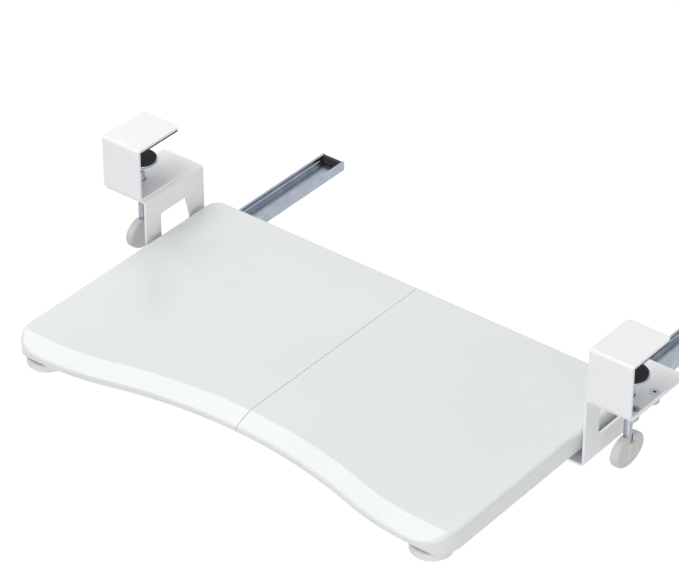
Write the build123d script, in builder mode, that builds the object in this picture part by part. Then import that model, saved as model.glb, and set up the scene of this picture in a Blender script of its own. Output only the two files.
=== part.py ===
from build123d import *
import os

# Under-desk keyboard tray that hangs from two desk clamps and slides on ball rails.
# Millimetres. The origin is the middle of the desk's top front edge:
# +X runs right along the edge, +Y back under the desk, +Z up.
# It is modelled pulled out, as it is when someone types on it.

os.makedirs("parts", exist_ok=True)

# Desk that the clamps grip
desk_t = 25.0

# Sheet steel of clamps and hangers
sheet = 2.5
bend_r = 1.5
hole_overrun = 1.0

# Clamps
clamp_w = 46.2
clamp_depth = 60.0
clamp_h = 56.8
clamp_bend_r = 0.5
clamp_corner_r = 5.0
jaw_pad_t = 2.0
jaw_pad_margin = 0.3
jaw_pad_corner_r = 4.0

# Hangers
hanger_setback = 3.0
hanger_depth = 85.0
hanger_drop = 74.7
tray_side_gap = 5.3
window_front = 21.8
window_top_depth = 37.6
window_foot_depth = 44.2
window_below_clamp = 23.0
window_h = 28.3
window_corner_r = 3.0
flange_margin = 1.5
flange_corner_r = 6.0

# Tray board
tray_w = 500.0
tray_depth = 300.0
tray_t = 21.0
tray_lobe_reach = 203.5
front_dip = 31.0
front_turn_share = 0.65
tray_corner_r = 33.0
tray_back_corner_r = 14.0
tray_top_edge_r = 4.0
tray_foot_edge_r = 1.5
bevel_drop = 7.0
bevel_mid_run = 19.5
bevel_lobe_run = 20.0
front_edge_r = 3.5
front_foot_edge_r = 2.0
undercut_h = 8.5
undercut_run = 9.0
seam_gap = 0.4
seam_chamfer = 0.4
slope_overrun_share = 0.4

# Clamp screw, its nut, its knob and its pressure disc
screw_outset = 2.1
screw_y = 27.7
screw_r = 4.0
thread_clearance = 0.05
screw_hole_gap = 1.0
nut_af = 13.0
nut_h = 6.5
disc_pad_t = 1.5
disc_pad_r = 15.5
disc_r = 17.0
disc_t = 2.5
disc_edge_r = 0.8
socket_boss_r = 6.5
socket_boss_h = 5.2
ball_tip_r = 3.0
ball_tip_clearance = 0.08
neck_r = 2.0
neck_gap = 0.5
shoulder_gap = 0.8
knob_drop = 75.2
hub_r = 7.0
hub_h = 18.0
wing_w = 43.5
wing_h = 32.5
wing_t = 9.0
wing_edge_r = 2.0
wing_rise = 6.7
wing_notch_gap = 0.8
screw_end_gap = 1.0

# Bolts and cap nuts that join each clamp to its hanger
bolt_outset = 16.8
bolt_front_inset = 12.5
bolt_back_inset = 13.0
bolt_r = 3.0
plate_hole_gap = 0.2
bolt_head_r = 5.2
head_fit = 0.1
countersink_angle = 90.0
bolt_socket_r = 2.0
bolt_socket_h = 1.8
bolt_tail = 5.0
bolt_end_gap = 1.0
cap_nut_af = 10.0
cap_nut_hex_h = 5.0
cap_dome_inset = 0.4
cap_dome_h = 3.8
cap_dome_edge_r = 3.0
hex_sides = 6

# Ball slides between hangers and tray
rail_side_gap = 14.8
rail_front = 0.5
rail_w = 27.0
rail_wall_h = 9.7
rail_sheet = 1.2
rail_wall = 2.2
rail_wall_gap = 1.4
rail_top_gap = 0.8
race_clearance = 0.15
slide_ball_r = 1.6
inner_rail_front_gap = 5.0
inner_rail_back_inset = 1.0
inner_wall = 1.9
inner_wall_foot_gap = 1.4
cage_sheet = 0.6
cage_flange_t = 0.8
cage_foot_gap = 0.4
cage_top_gap = 0.5
cage_len = 85.0
cage_end = 6.5
balls_per_row = 7
pocket_clearance = 0.1
foot_stop_gap = 4.0
bumper_gap = 0.5
bumper_len = 4.0
bumper_top_gap = 1.5
bumper_edge_r = 0.6
bumper_side_gap = 0.1

# Countersunk bolts and nuts that hold the outer rails
rail_bolt_r = 2.0
rail_bolt_head_r = 3.8
rail_bolt_end = 15.5
rail_nut_af = 7.0
rail_nut_h = 3.2
rail_bolt_tail = 3.6

# Screws that go up into the board
wood_screw_r = 1.9
wood_screw_head_r = 3.8
wood_screw_head_h = 2.0
wood_screw_head_edge_r = 0.9
wood_screw_slot_w = 1.0
wood_screw_slot_h = 1.2
wood_screw_len = 12.0
wood_screw_clearance = 0.05
wood_screw_tip_gap = 1.0
tray_screw_end = 20.0
tray_screws_per_rail = 4

# Joining bars and dowels across the seam
bar_len = 120.0
bar_w = 28.0
bar_t = 2.0
bar_corner_r = 4.0
front_bar_inset = 60.5
rear_bar_inset = 30.5
bar_screw_inner_x = 13.0
bar_screw_end = 5.0
dowel_r = 4.0
dowel_len = 36.0
dowel_clearance = 0.05
dowel_end_gap = 0.5
dowel_front_inset = 30.5
dowel_back_inset = 65.5
dowels = 3

# Foot discs under the front corners
foot_side_inset = 27.2
foot_front_inset = 26.0
foot_r = 20.0
foot_h = 7.7
foot_edge_r = 1.6
foot_neck_r = 13.5
foot_neck_h = 2.0
foot_bore_gap = 0.8
foot_bore_h = 5.0

# Places and sizes worked out from those above
web_in = tray_w / 2 + tray_side_gap
web_out = web_in + sheet
clamp_inner_x = web_out + bend_r
clamp_x = clamp_inner_x + clamp_w / 2
clamp_outer_x = clamp_inner_x + clamp_w
clamp_back = clamp_depth - sheet
clamp_top = jaw_pad_t + sheet
clamp_foot = clamp_top - clamp_h
hanger_front = -sheet + hanger_setback
hanger_back = hanger_front + hanger_depth
hanger_top = clamp_foot
hanger_foot = hanger_top - hanger_drop
flange_top = hanger_foot + sheet
screw_x = clamp_x + screw_outset
screw_hole_r = screw_r + screw_hole_gap
bolt_x = clamp_x + bolt_outset
bolt_ys = (bolt_front_inset, clamp_back - bolt_back_inset)
bolt_hole_r = bolt_r + plate_hole_gap

rail_floor = flange_top + rail_sheet
rail_top = flange_top + rail_wall_h
tray_foot = rail_top + rail_top_gap
tray_top = tray_foot + tray_t
tray_lobe_y = -tray_lobe_reach
tray_mid_y = tray_lobe_y + front_dip
tray_back = tray_lobe_y + tray_depth
foot_x = tray_w / 2 - foot_side_inset
foot_y = tray_lobe_y + foot_front_inset
foot_top = tray_foot - foot_neck_h
foot_bore_r = wood_screw_head_r + foot_bore_gap
tray_travel = hanger_front - foot_stop_gap - foot_r - foot_y

rail_x = web_in - rail_side_gap - rail_w / 2
rail_bolt_ys = (hanger_front + rail_bolt_end, hanger_back - rail_bolt_end)
rail_bolt_hole_r = rail_bolt_r + plate_hole_gap
flange_in = rail_x - rail_w / 2 - flange_margin
inner_rail_back = tray_back - inner_rail_back_inset
inner_rail_front = foot_y + foot_r + inner_rail_front_gap
inner_rail_len = inner_rail_back - inner_rail_front
inner_rail_under = tray_foot - rail_sheet
inner_wall_foot = rail_floor + inner_wall_foot_gap
outer_wall_in = rail_w / 2 - rail_wall
inner_wall_out = outer_wall_in - rail_wall_gap
race_offset = (outer_wall_in + inner_wall_out) / 2
race_r = slide_ball_r + race_clearance
race_z = (inner_rail_under + inner_wall_foot) / 2
cage_foot = rail_floor + cage_foot_gap
cage_flange_h = inner_rail_under - cage_top_gap - cage_foot
cage_front = (rail_front + inner_rail_back - cage_len) / 2
ball_pitch = (cage_len - 2 * cage_end) / (balls_per_row - 1)
bumper_y = inner_rail_back + tray_travel + bumper_gap
bumper_h = tray_foot - bumper_top_gap - rail_floor
rail_back = bumper_y + bumper_len
wood_screw_hole_r = wood_screw_r + plate_hole_gap
tray_screw_pitch = (inner_rail_len - 2 * tray_screw_end) / (tray_screws_per_rail - 1)

front_bar_y = tray_mid_y + front_bar_inset
rear_bar_y = tray_back - rear_bar_inset
bar_screw_xs = (bar_screw_inner_x, bar_len / 2 - bar_screw_end)
dowel_first_y = tray_mid_y + dowel_front_inset
dowel_pitch = (tray_back - dowel_back_inset - dowel_first_y) / (dowels - 1)

disc_pad_top = -desk_t
disc_top = disc_pad_top - disc_pad_t
disc_foot = disc_top - disc_t
socket_foot = disc_foot - socket_boss_h
ball_tip_z = disc_foot - ball_tip_r
shoulder_z = socket_foot - shoulder_gap
hub_top = disc_pad_top - knob_drop
hub_foot = hub_top - hub_h
wing_z = hub_top + wing_rise - wing_h / 2

sides = (("left", -1), ("right", 1))
at_foot = (Align.CENTER, Align.CENTER, Align.MIN)
at_head = (Align.CENTER, Align.CENTER, Align.MAX)


def bolt_places(side, z):
    """Places of the two bolts that join a clamp to its hanger, at height z."""
    return [(side * bolt_x, y, z) for y in bolt_ys]


def rail_bolt_places(side, z):
    """Places of the two bolts that hold an outer rail, at height z."""
    return [(side * rail_x, y, z) for y in rail_bolt_ys]


def tray_screw_places(side, z):
    """Places of the screws that hold an inner rail to the board, at height z."""
    first = inner_rail_front + tray_screw_end
    return [(side * rail_x, first + i * tray_screw_pitch, z) for i in range(tray_screws_per_rail)]


def bar_screw_places(side, z):
    """Places of the joining-bar screws in one half of the board, at height z."""
    return [(side * x, y, z) for x in bar_screw_xs for y in (front_bar_y, rear_bar_y)]


def dowel_places():
    """Places of the dowels in the plane of the seam, halfway up the board."""
    level = (tray_top + tray_foot) / 2
    return [(dowel_first_y + i * dowel_pitch, level) for i in range(dowels)]


def front_curve(side, mid_y, lobe_y):
    """Front edge of one half: a hollow arc at the middle that turns into the lobe's arc."""
    apex_x = side * (tray_w / 2 - tray_corner_r)
    turn = (apex_x * front_turn_share, mid_y + (lobe_y - mid_y) * front_turn_share)
    TangentArc((0, mid_y), turn, tangent=(side, 0))
    TangentArc((apex_x, lobe_y), turn, tangent=(-side, 0))


def slope_cutter(side, edge_z, rise, mid_run, lobe_run):
    """Solid in front of a slope that starts at the front edge and is set back by the runs where it ends."""
    apex_x = side * (tray_w / 2 - tray_corner_r)
    outside_x = side * (tray_w / 2 + hole_overrun)
    outside_y = tray_lobe_y - bevel_lobe_run
    with BuildPart() as cutter:
        for along in (-slope_overrun_share, 1 + slope_overrun_share):
            mid_y = tray_mid_y + mid_run * along
            lobe_y = tray_lobe_y + lobe_run * along
            with BuildSketch(Plane.XY.offset(edge_z + rise * along)):
                with BuildLine():
                    front_curve(side, mid_y, lobe_y)
                    Polyline((apex_x, lobe_y), (outside_x, lobe_y), (outside_x, outside_y))
                    Polyline((outside_x, outside_y), (0, outside_y), (0, mid_y))
                make_face()
        loft(ruled=True)
    return cutter.part


def outline_edges(panel, level):
    """Edges round the outside of a board's half, at its lowest level (0) or its highest (-1)."""
    return [edge for edge in panel.edges().group_by(Axis.Z)[level] if abs(edge.center().X) > seam_gap]


def front_edges(panel, z, least_len=0):
    """Edges along the front of a board's half that lie level at height z, longer than least_len."""
    front = [edge for edge in panel.edges() if edge.center().Y < tray_mid_y + bevel_lobe_run]
    level = [edge for edge in front if abs(edge.bounding_box().min.Z - z) < seam_gap]
    level = [edge for edge in level if abs(edge.bounding_box().max.Z - z) < seam_gap]
    return [edge for edge in level if edge.length > least_len]


def corners_at(sketch, place):
    """Corners of a sketch that lie at the place given."""
    x, y = place
    return [corner for corner in sketch.vertices() if abs(corner.X - x) + abs(corner.Y - y) < bend_r]


def wood_screws(places):
    """Slotted pan-head screws that go up, with the undersides of their heads at the places given."""
    with BuildPart() as screws:
        with Locations(*places):
            Cylinder(wood_screw_head_r, wood_screw_head_h, align=at_head)
        rims = screws.edges().filter_by(GeomType.CIRCLE).group_by(Axis.Z)[0]
        fillet(rims, radius=wood_screw_head_edge_r)
        with Locations(*[(x, y, z - wood_screw_head_h) for x, y, z in places]):
            slot_l = 2 * wood_screw_head_r
            Box(slot_l, wood_screw_slot_w, wood_screw_slot_h, align=at_foot, mode=Mode.SUBTRACT)
        with Locations(*places):
            Cylinder(wood_screw_r, wood_screw_len, align=at_foot)
    return screws.part


for side_name, side in sides:

    # Clamp: one strip bent into a C, with rounded back corners
    with BuildPart() as c_clamp:
        with BuildSketch(Plane.YZ.offset(side * clamp_x - clamp_w / 2)) as strip:
            with Locations((clamp_back - clamp_depth / 2, clamp_top - clamp_h / 2)):
                Rectangle(clamp_depth, clamp_h)
            with Locations((clamp_back / 2, clamp_top - clamp_h / 2)):
                Rectangle(clamp_back, clamp_h - 2 * sheet, mode=Mode.SUBTRACT)
            fillet(strip.vertices().group_by(Axis.X)[0], radius=clamp_bend_r + sheet)
            inner = strip.vertices().filter_by_position(Axis.X, -clamp_bend_r / 2, clamp_bend_r / 2)
            fillet(inner, radius=clamp_bend_r)
        extrude(amount=clamp_w)
        fillet(c_clamp.edges().filter_by(Axis.Z).group_by(Axis.Y)[-1], radius=clamp_corner_r)
        with Locations((side * screw_x, screw_y, clamp_foot + sheet + hole_overrun)):
            Hole(radius=screw_hole_r, depth=sheet + 2 * hole_overrun)
        with Locations(*bolt_places(side, clamp_foot + sheet)):
            sink_r = bolt_head_r + head_fit
            CounterSinkHole(bolt_hole_r, sink_r, sheet + hole_overrun, countersink_angle)
    c_clamp.part.label = f"{side_name}_c_clamp"
    export_step(c_clamp.part, f"parts/{side_name}_c_clamp.step")

    # Rubber pad between the clamp's top plate and the desk
    with BuildPart() as jaw_pad:
        pad_front = clamp_bend_r + jaw_pad_margin
        pad_back = clamp_back - jaw_pad_margin
        with BuildSketch(Plane.XY):
            with Locations((side * clamp_x, (pad_front + pad_back) / 2)):
                RectangleRounded(clamp_w - 2 * jaw_pad_margin, pad_back - pad_front, jaw_pad_corner_r)
        extrude(amount=jaw_pad_t)
    jaw_pad.part.label = f"{side_name}_jaw_pad"
    export_step(jaw_pad.part, f"parts/{side_name}_jaw_pad.step")

    # Hanger: a Z of sheet steel, with a window in its web
    with BuildPart() as hanger:
        with BuildSketch(Plane.XZ.offset(-hanger_front)) as bent:
            with BuildLine():
                Polyline(
                    (side * clamp_outer_x, hanger_top),
                    (side * web_in, hanger_top),
                    (side * web_in, flange_top),
                    (side * flange_in, flange_top),
                    (side * flange_in, hanger_foot),
                    (side * web_out, hanger_foot),
                    (side * web_out, hanger_top - sheet),
                    (side * clamp_outer_x, hanger_top - sheet),
                    close=True,
                )
            make_face()
            fillet(corners_at(bent, (side * web_in, hanger_top)), radius=bend_r + sheet)
            fillet(corners_at(bent, (side * web_out, hanger_foot)), radius=bend_r + sheet)
            fillet(corners_at(bent, (side * web_in, flange_top)), radius=bend_r)
            fillet(corners_at(bent, (side * web_out, hanger_top - sheet)), radius=bend_r)
        extrude(amount=-hanger_depth)
        window_top = hanger_top - window_below_clamp
        window_foot = window_top - window_h
        with BuildSketch(Plane.YZ.offset(side * web_in - sheet)) as window:
            with BuildLine():
                Polyline(
                    (window_front, window_top),
                    (window_front + window_top_depth, window_top),
                    (window_front + window_foot_depth, window_foot),
                    (window_front, window_foot),
                    close=True,
                )
            make_face()
            fillet(window.vertices(), radius=window_corner_r)
        extrude(amount=2 * sheet, both=True, mode=Mode.SUBTRACT)
        upright = hanger.edges().filter_by(Axis.Z)
        fillet(upright.filter_by_position(Axis.Z, hanger_foot, flange_top), radius=flange_corner_r)
        with Locations((side * screw_x, screw_y, hanger_top + hole_overrun)):
            Hole(radius=screw_hole_r, depth=sheet + 2 * hole_overrun)
        with Locations(*bolt_places(side, hanger_top + hole_overrun)):
            Hole(radius=bolt_hole_r, depth=sheet + 2 * hole_overrun)
        with Locations(*rail_bolt_places(side, flange_top)):
            sink_r = rail_bolt_head_r - rail_sheet + head_fit
            CounterSinkHole(rail_bolt_hole_r, sink_r, sheet + hole_overrun, countersink_angle)
    hanger.part.label = f"{side_name}_hanger"
    export_step(hanger.part, f"parts/{side_name}_hanger.step")

    # Countersunk bolts from the clamp's lower plate down through the hanger
    with BuildPart() as clamp_bolts:
        head_h = bolt_head_r - bolt_r
        with Locations(*bolt_places(side, clamp_foot + sheet)):
            Cylinder(bolt_r, 2 * sheet + bolt_tail, align=at_head)
        with Locations(*bolt_places(side, clamp_foot + sheet - head_h)):
            Cone(bolt_r, bolt_head_r, head_h, align=at_foot)
        with BuildSketch(Plane.XY.offset(clamp_foot + sheet)):
            with Locations(*[(x, y) for x, y, z in bolt_places(side, 0)]):
                RegularPolygon(bolt_socket_r, hex_sides)
        extrude(amount=-bolt_socket_h, mode=Mode.SUBTRACT)
    clamp_bolts.part.label = f"{side_name}_clamp_bolts"
    export_step(clamp_bolts.part, f"parts/{side_name}_clamp_bolts.step")

    # Cap nuts under the hanger
    with BuildPart() as cap_nuts:
        nut_top = hanger_top - sheet
        with BuildSketch(Plane.XY.offset(nut_top)):
            with Locations(*[(x, y) for x, y, z in bolt_places(side, 0)]):
                RegularPolygon(cap_nut_af / 2, hex_sides, major_radius=False)
        extrude(amount=-cap_nut_hex_h)
        with Locations(*bolt_places(side, nut_top - cap_nut_hex_h)):
            Cylinder(cap_nut_af / 2 - cap_dome_inset, cap_dome_h, align=at_head)
        fillet(cap_nuts.edges().filter_by(GeomType.CIRCLE).group_by(Axis.Z)[0], radius=cap_dome_edge_r)
        with Locations(*bolt_places(side, nut_top)):
            Hole(radius=bolt_r + thread_clearance, depth=bolt_tail + bolt_end_gap)
    cap_nuts.part.label = f"{side_name}_cap_nuts"
    export_step(cap_nuts.part, f"parts/{side_name}_cap_nuts.step")

    # Nut welded under the hanger's top flange
    with BuildPart() as screw_nut:
        with BuildSketch(Plane.XY.offset(hanger_top - sheet)):
            with Locations((side * screw_x, screw_y)):
                RegularPolygon(nut_af / 2, hex_sides, major_radius=False)
                Circle(screw_r + thread_clearance, mode=Mode.SUBTRACT)
        extrude(amount=-nut_h)
    screw_nut.part.label = f"{side_name}_screw_nut"
    export_step(screw_nut.part, f"parts/{side_name}_screw_nut.step")

    # Clamp screw with a ball tip and a neck
    with BuildPart() as clamp_screw:
        screw_end = hub_foot + screw_end_gap
        with Locations((side * screw_x, screw_y, screw_end)):
            Cylinder(screw_r, shoulder_z - screw_end, align=at_foot)
            Cylinder(neck_r, ball_tip_z - screw_end, align=at_foot)
        with Locations((side * screw_x, screw_y, ball_tip_z)):
            Sphere(ball_tip_r)
    clamp_screw.part.label = f"{side_name}_clamp_screw"
    export_step(clamp_screw.part, f"parts/{side_name}_clamp_screw.step")

    # Wing knob moulded on the foot of the screw
    with BuildPart() as knob:
        with BuildSketch(Plane.YZ.offset(side * screw_x)):
            with Locations((screw_y, wing_z)):
                Ellipse(wing_w / 2, wing_h / 2)
        extrude(amount=wing_t / 2, both=True)
        fillet(knob.edges(), radius=wing_edge_r)
        with Locations((side * screw_x, screw_y, hub_top)):
            notch_r = screw_r + wing_notch_gap
            Cylinder(notch_r, wing_rise + hole_overrun, align=at_foot, mode=Mode.SUBTRACT)
            Cylinder(hub_r, hub_h, align=at_head)
            Hole(radius=screw_r, depth=hub_h - screw_end_gap)
    knob.part.label = f"{side_name}_clamp_knob"
    export_step(knob.part, f"parts/{side_name}_clamp_knob.step")

    # Pressure disc, which swivels on the screw's ball tip
    with BuildPart() as pressure_disc:
        with Locations((side * screw_x, screw_y, disc_foot)):
            Cylinder(disc_r, disc_t, align=at_foot)
        fillet(pressure_disc.edges().filter_by(GeomType.CIRCLE), radius=disc_edge_r)
        with Locations((side * screw_x, screw_y, disc_foot)):
            Cylinder(socket_boss_r, socket_boss_h, align=at_head)
            Cylinder(neck_r + neck_gap, socket_boss_h, align=at_head, mode=Mode.SUBTRACT)
        with Locations((side * screw_x, screw_y, ball_tip_z)):
            Sphere(ball_tip_r + ball_tip_clearance, mode=Mode.SUBTRACT)
    pressure_disc.part.label = f"{side_name}_pressure_disc"
    export_step(pressure_disc.part, f"parts/{side_name}_pressure_disc.step")

    # Rubber pad on the pressure disc
    with BuildPart() as disc_pad:
        with Locations((side * screw_x, screw_y, disc_top)):
            Cylinder(disc_pad_r, disc_pad_t, align=at_foot)
    disc_pad.part.label = f"{side_name}_disc_pad"
    export_step(disc_pad.part, f"parts/{side_name}_disc_pad.step")

    # Outer rail: a channel whose walls carry the outer ball races
    races = [(side * rail_x - race_offset, race_z), (side * rail_x + race_offset, race_z)]
    with BuildPart() as outer_rail:
        with BuildSketch(Plane.XZ.offset(-rail_front)):
            with Locations((side * rail_x, flange_top + rail_wall_h / 2)):
                Rectangle(rail_w, rail_wall_h)
            with Locations((side * rail_x, rail_floor + rail_wall_h / 2)):
                Rectangle(2 * outer_wall_in, rail_wall_h, mode=Mode.SUBTRACT)
            with Locations(*races):
                Circle(race_r, mode=Mode.SUBTRACT)
        extrude(amount=rail_front - rail_back)
        with Locations(*rail_bolt_places(side, rail_floor)):
            sink_r = rail_bolt_head_r + head_fit
            CounterSinkHole(rail_bolt_hole_r, sink_r, rail_sheet + hole_overrun, countersink_angle)
    outer_rail.part.label = f"{side_name}_outer_rail"
    export_step(outer_rail.part, f"parts/{side_name}_outer_rail.step")

    # Countersunk bolts that hold the outer rail to the hanger's foot flange
    with BuildPart() as rail_bolts:
        head_h = rail_bolt_head_r - rail_bolt_r
        with Locations(*rail_bolt_places(side, rail_floor)):
            Cylinder(rail_bolt_r, rail_sheet + sheet + rail_bolt_tail, align=at_head)
        with Locations(*rail_bolt_places(side, rail_floor - head_h)):
            Cone(rail_bolt_r, rail_bolt_head_r, head_h, align=at_foot)
    rail_bolts.part.label = f"{side_name}_rail_bolts"
    export_step(rail_bolts.part, f"parts/{side_name}_rail_bolts.step")

    # Nuts under the hanger's foot flange
    with BuildPart() as rail_nuts:
        with BuildSketch(Plane.XY.offset(hanger_foot)):
            with Locations(*[(x, y) for x, y, z in rail_bolt_places(side, 0)]):
                RegularPolygon(rail_nut_af / 2, hex_sides, major_radius=False)
                Circle(rail_bolt_r + thread_clearance, mode=Mode.SUBTRACT)
        extrude(amount=-rail_nut_h)
    rail_nuts.part.label = f"{side_name}_rail_nuts"
    export_step(rail_nuts.part, f"parts/{side_name}_rail_nuts.step")

    # Rubber bumper across the back end of the outer rail
    with BuildPart() as bumper:
        with Locations((side * rail_x, bumper_y, rail_floor)):
            bumper_w = 2 * (outer_wall_in - bumper_side_gap)
            Box(bumper_w, bumper_len, bumper_h, align=(Align.CENTER, Align.MIN, Align.MIN))
        fillet(bumper.edges().filter_by(Axis.X), radius=bumper_edge_r)
    bumper.part.label = f"{side_name}_rail_bumper"
    export_step(bumper.part, f"parts/{side_name}_rail_bumper.step")

    # Inner rail: an inverted channel under the board with the inner ball races
    with BuildPart() as inner_rail:
        inner_h = tray_foot - inner_wall_foot
        with BuildSketch(Plane.XZ.offset(-inner_rail_front)):
            with Locations((side * rail_x, tray_foot - inner_h / 2)):
                Rectangle(2 * inner_wall_out, inner_h)
            with Locations((side * rail_x, inner_rail_under - inner_h / 2)):
                Rectangle(2 * (inner_wall_out - inner_wall), inner_h, mode=Mode.SUBTRACT)
            with Locations(*races):
                Circle(race_r, mode=Mode.SUBTRACT)
        extrude(amount=-inner_rail_len)
        with Locations(*tray_screw_places(side, tray_foot)):
            Hole(radius=wood_screw_hole_r, depth=rail_sheet + hole_overrun)
    inner_rail.part.label = f"{side_name}_inner_rail"
    export_step(inner_rail.part, f"parts/{side_name}_inner_rail.step")

    # Ball cage: a folded strip with a row of pockets each side
    ball_ys = [cage_front + cage_end + i * ball_pitch for i in range(balls_per_row)]
    with BuildPart() as ball_cage:
        cage_w = 2 * race_offset + cage_flange_t
        with BuildSketch(Plane.XZ.offset(-cage_front)):
            with Locations((side * rail_x, cage_foot + cage_flange_h / 2)):
                Rectangle(cage_w, cage_flange_h)
            with Locations((side * rail_x, cage_foot + cage_sheet + cage_flange_h / 2)):
                Rectangle(cage_w - 2 * cage_flange_t, cage_flange_h, mode=Mode.SUBTRACT)
        extrude(amount=-cage_len)
        with BuildSketch(Plane.YZ.offset(side * rail_x)):
            with Locations(*[(y, race_z) for y in ball_ys]):
                Circle(slide_ball_r + pocket_clearance)
        extrude(amount=rail_w / 2, both=True, mode=Mode.SUBTRACT)
    ball_cage.part.label = f"{side_name}_ball_cage"
    export_step(ball_cage.part, f"parts/{side_name}_ball_cage.step")

    # Balls of the slide
    with BuildPart() as slide_balls:
        with Locations(*[(x, y, z) for x, z in races for y in ball_ys]):
            Sphere(slide_ball_r)
    slide_balls.part.label = f"{side_name}_slide_balls"
    export_step(slide_balls.part, f"parts/{side_name}_slide_balls.step")

    # Screws that hold the inner rail to the board
    with BuildPart() as tray_rail_screws:
        add(wood_screws(tray_screw_places(side, inner_rail_under)))
    tray_rail_screws.part.label = f"{side_name}_tray_rail_screws"
    export_step(tray_rail_screws.part, f"parts/{side_name}_tray_rail_screws.step")

    # Half of the tray board, bevelled along its front edge and cut back under it
    bevel = slope_cutter(side, tray_top - bevel_drop, bevel_drop, bevel_mid_run, bevel_lobe_run)
    undercut = slope_cutter(side, tray_foot + undercut_h, -undercut_h, undercut_run, undercut_run)
    with BuildPart() as tray_panel:
        half_w = tray_w / 2
        apex_x = half_w - tray_corner_r
        back_x = half_w - tray_back_corner_r
        back_turn_y = tray_back - tray_back_corner_r
        with BuildSketch(Plane.XY.offset(tray_foot)):
            with BuildLine():
                front_curve(side, tray_mid_y, tray_lobe_y)
                corner_y = tray_lobe_y + tray_corner_r
                TangentArc((side * apex_x, tray_lobe_y), (side * half_w, corner_y), tangent=(side, 0))
                Line((side * half_w, corner_y), (side * half_w, back_turn_y))
                TangentArc((side * half_w, back_turn_y), (side * back_x, tray_back), tangent=(0, 1))
                Polyline((side * back_x, tray_back), (0, tray_back), (0, tray_mid_y))
            make_face()
        extrude(amount=tray_t)
        fillet(outline_edges(tray_panel, -1), radius=tray_top_edge_r)
        fillet(outline_edges(tray_panel, 0), radius=tray_foot_edge_r)
        add(bevel, mode=Mode.SUBTRACT)
        add(undercut, mode=Mode.SUBTRACT)
        split(bisect_by=Plane.YZ.offset(side * seam_gap / 2), keep=Keep.TOP if side > 0 else Keep.BOTTOM)
        crease = [edge for edge in front_edges(tray_panel, tray_top) if edge.geom_type != GeomType.CIRCLE]
        fillet(front_edges(tray_panel, tray_top - bevel_drop, tray_corner_r) + crease, radius=front_edge_r)
        fillet(front_edges(tray_panel, tray_foot + undercut_h, tray_corner_r), radius=front_foot_edge_r)
        seam = tray_panel.edges().filter_by_position(Axis.X, side * seam_gap / 2, side * seam_gap / 2)
        chamfer(seam, length=seam_chamfer)
        with Locations(*tray_screw_places(side, tray_foot), *bar_screw_places(side, tray_foot)):
            hole_h = wood_screw_len + wood_screw_tip_gap
            Cylinder(wood_screw_r + wood_screw_clearance, hole_h, align=at_foot, mode=Mode.SUBTRACT)
        with Locations((side * foot_x, foot_y, tray_foot)):
            Cylinder(wood_screw_r + wood_screw_clearance, hole_h, align=at_foot, mode=Mode.SUBTRACT)
        with BuildSketch(Plane.YZ):
            with Locations(*dowel_places()):
                Circle(dowel_r + dowel_clearance)
        extrude(amount=dowel_len / 2 + dowel_end_gap, both=True, mode=Mode.SUBTRACT)
    tray_panel.part.label = f"{side_name}_tray_panel"
    export_step(tray_panel.part, f"parts/{side_name}_tray_panel.step")

    # Foot disc under the front corner, on a narrower neck
    with BuildPart() as corner_foot:
        with Locations((side * foot_x, foot_y, foot_top)):
            Cylinder(foot_r, foot_h, align=at_head)
        fillet(corner_foot.edges().filter_by(GeomType.CIRCLE), radius=foot_edge_r)
        with Locations((side * foot_x, foot_y, foot_top)):
            Cylinder(foot_neck_r, foot_neck_h, align=at_foot)
        with Locations((side * foot_x, foot_y, foot_top - foot_h)):
            Cylinder(foot_bore_r, foot_bore_h, align=at_foot, mode=Mode.SUBTRACT)
            Cylinder(wood_screw_hole_r, foot_h + 2 * foot_neck_h, align=at_foot, mode=Mode.SUBTRACT)
    corner_foot.part.label = f"{side_name}_corner_foot"
    export_step(corner_foot.part, f"parts/{side_name}_corner_foot.step")

    # Screw that holds the foot disc
    with BuildPart() as foot_screw:
        add(wood_screws([(side * foot_x, foot_y, foot_top - foot_h + foot_bore_h)]))
    foot_screw.part.label = f"{side_name}_foot_screw"
    export_step(foot_screw.part, f"parts/{side_name}_foot_screw.step")

# Steel bars that join the two halves under the seam
for bar_name, bar_y in (("front", front_bar_y), ("rear", rear_bar_y)):
    with BuildPart() as joining_bar:
        with BuildSketch(Plane.XY.offset(tray_foot)):
            with Locations((0, bar_y)):
                RectangleRounded(bar_len, bar_w, bar_corner_r)
        extrude(amount=-bar_t)
        places = bar_screw_places(-1, tray_foot) + bar_screw_places(1, tray_foot)
        with Locations(*[(x, y, z) for x, y, z in places if y == bar_y]):
            Hole(radius=wood_screw_hole_r, depth=bar_t + hole_overrun)
    joining_bar.part.label = f"{bar_name}_joining_bar"
    export_step(joining_bar.part, f"parts/{bar_name}_joining_bar.step")

# Screws of both bars
with BuildPart() as joining_screws:
    add(wood_screws(bar_screw_places(-1, tray_foot - bar_t) + bar_screw_places(1, tray_foot - bar_t)))
joining_screws.part.label = "joining_screws"
export_step(joining_screws.part, "parts/joining_screws.step")

# Dowels that line the halves up
with BuildPart() as seam_dowels:
    with BuildSketch(Plane.YZ):
        with Locations(*dowel_places()):
            Circle(dowel_r)
    extrude(amount=dowel_len / 2, both=True)
seam_dowels.part.label = "seam_dowels"
export_step(seam_dowels.part, "parts/seam_dowels.step")
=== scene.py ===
"""Visual model of a keyboard tray that slides under a desk on two clamps.

Everything is in metres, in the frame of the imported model: +X runs right along the desk's edge, +Y back
under the desk and +Z up. The origin is the middle of the desk's top front edge.
"""
import logging
import math
from collections.abc import Callable, Sequence
from dataclasses import dataclass, field
from enum import Enum

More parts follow.
